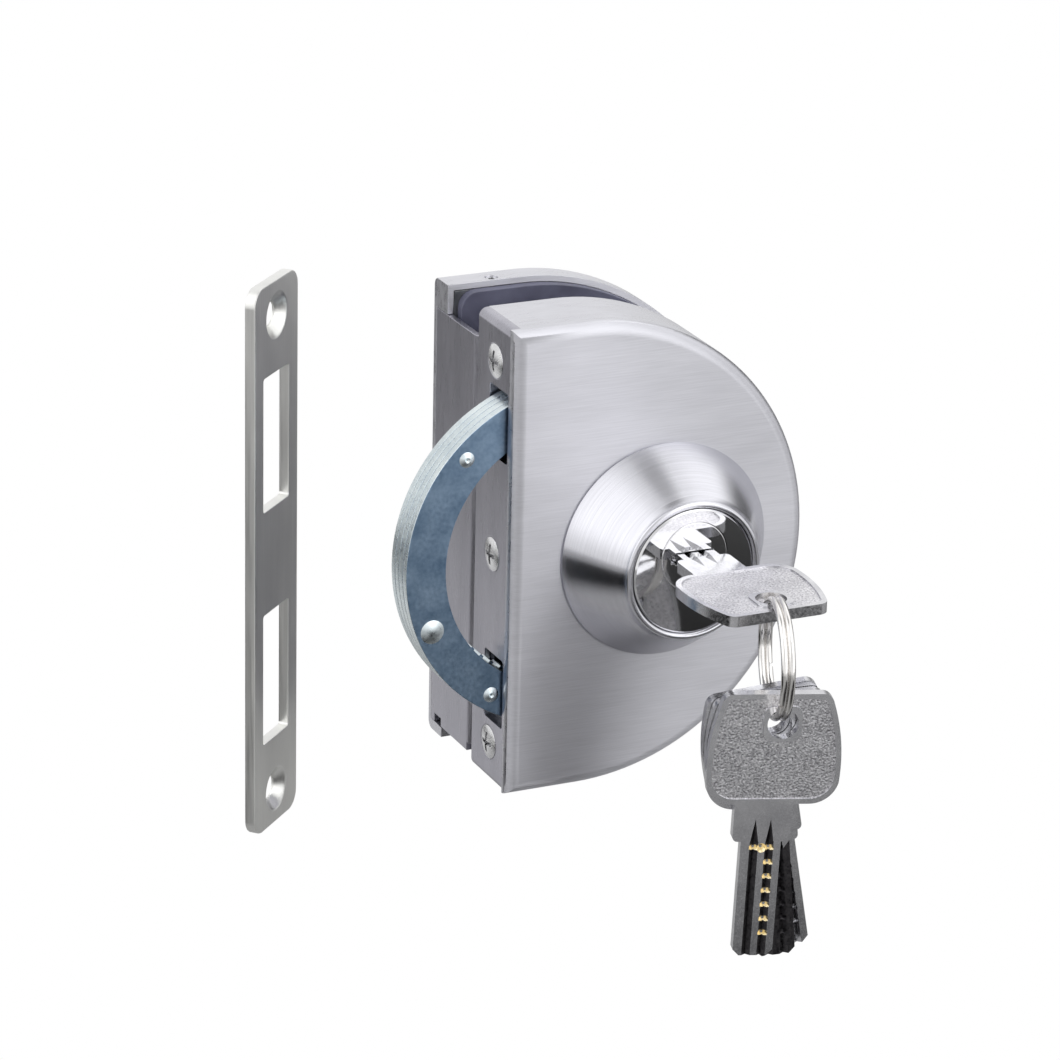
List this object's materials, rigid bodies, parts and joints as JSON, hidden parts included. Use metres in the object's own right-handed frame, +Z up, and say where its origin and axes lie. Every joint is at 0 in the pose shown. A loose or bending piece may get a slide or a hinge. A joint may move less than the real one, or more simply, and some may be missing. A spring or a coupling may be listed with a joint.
{
  "type": "glass door lock",
  "caption": "Clamp-on lock for a frameless glass door: D-shaped steel cases grip the glass and a key turns a laminated ring bolt out to hook a strike plate; spare keys hang on a split ring.",
  "frame": {"origin": "middle of the glass slot, at the edge of the glass and at half the height of the cases", "axes": "+X runs into the door leaf away from the bolt, -Y is the key side and +Z is up"},
  "size_m": [0.1279, 0.1115, 0.1413],
  "materials": {
    "cover_steel": "satin, straight grain",
    "rosette_steel": "satin, turned",
    "face_steel": "satin",
    "frame_steel": "zinc plated",
    "cylinder_chrome": "polished",
    "screw_steel": "bright",
    "grub_steel": "blackened",
    "bolt_face_zinc": "blue zinc plated",
    "bolt_zinc": "bright zinc plated",
    "rivet_steel": "bright",
    "gear_steel": "machined",
    "pin_brass": "machined",
    "gasket_rubber": "matte",
    "strike_steel": "satin",
    "key_nickel": "nickel plated",
    "ring_chrome": "polished"
  },
  "bodies": {
    "case": {"front_cover": "cover_steel", "back_cover": "cover_steel", "rosette": "rosette_steel", "faceplate": "face_steel", "edge_channel": "face_steel", "lock_frame": "frame_steel", "track_plate": "frame_steel", "back_plate": "frame_steel", "clamp_plate": "frame_steel", "cylinder_body": "cylinder_chrome", "faceplate_screws": "screw_steel", "case_screws": "screw_steel", "cylinder_screws": "screw_steel", "channel_screws": "screw_steel", "clamp_screws": "screw_steel", "spring_cap": "screw_steel", "pin_springs": "screw_steel", "idler_post": "screw_steel", "grub_screws": "grub_steel", "driver_pins": "pin_brass", "front_gasket": "gasket_rubber", "back_gasket": "gasket_rubber", "strike_plate": "strike_steel"},
    "plug": {"plug": "cylinder_chrome", "key_pins": "pin_brass", "drive_gear": "gear_steel", "plug_clip": "screw_steel"},
    "bolt": {"bolt_front_plate": "bolt_face_zinc", "bolt_second_plate": "bolt_zinc", "bolt_third_plate": "bolt_zinc", "bolt_rear_plate": "bolt_zinc", "bolt_rivets": "rivet_steel"},
    "idler": {"idler_gear": "gear_steel"},
    "inserted_key": {"key_main": "key_nickel"},
    "ring": {"split_ring": "ring_chrome"},
    "front_key": {"key_front": "key_nickel"},
    "middle_key": {"key_middle": "key_nickel"},
    "rear_key": {"key_rear": "key_nickel"}
  },
  "joints": [
    {"name": "bolt_swing", "type": "hinge", "parent": "case", "child": "bolt", "pos_m": [0.005, -0.0201, 0], "axis": [0, 1, 0], "range_deg": [0, 137.14]},
    {"name": "key_turn", "type": "hinge", "parent": "case", "child": "plug", "pos_m": [0.0253, -0.03, 0.0035], "axis": [0, 1, 0], "range_deg": [-360, 0]},
    {"name": "idler_spin", "type": "hinge", "parent": "case", "child": "idler", "pos_m": [0.00932, -0.017, 0.02004], "axis": [0, 1, 0], "range_deg": [0, 392.73]},
    {"name": "key_withdraw", "type": "slide", "parent": "plug", "child": "inserted_key", "axis": [0, -1, 0], "range_m": [0, 0.036]},
    {"name": "ring_swing", "type": "hinge", "parent": "inserted_key", "child": "ring", "pos_m": [0.02657, -0.08223, -0.00653], "axis": [0.9613, -0.2756, 0], "range_deg": [-25, 25]},
    {"name": "front_key_swing", "type": "hinge", "parent": "ring", "child": "front_key", "pos_m": [0.02697, -0.0852, -0.02024], "axis": [0.2756, 0.9613, 0], "range_deg": [-30, 30]},
    {"name": "middle_key_swing", "type": "hinge", "parent": "ring", "child": "middle_key", "pos_m": [0.02686, -0.08231, -0.02153], "axis": [0.2756, 0.9613, 0], "range_deg": [-30, 30]},
    {"name": "rear_key_swing", "type": "hinge", "parent": "ring", "child": "rear_key", "pos_m": [0.02694, -0.07948, -0.02089], "axis": [0.2756, 0.9613, 0], "range_deg": [-30, 30]}
  ],
  "couplings": [
    {"joint": "key_turn", "follows": "bolt_swing", "ratio": -2.625},
    {"joint": "idler_spin", "follows": "bolt_swing", "ratio": 2.8636}
  ]
}
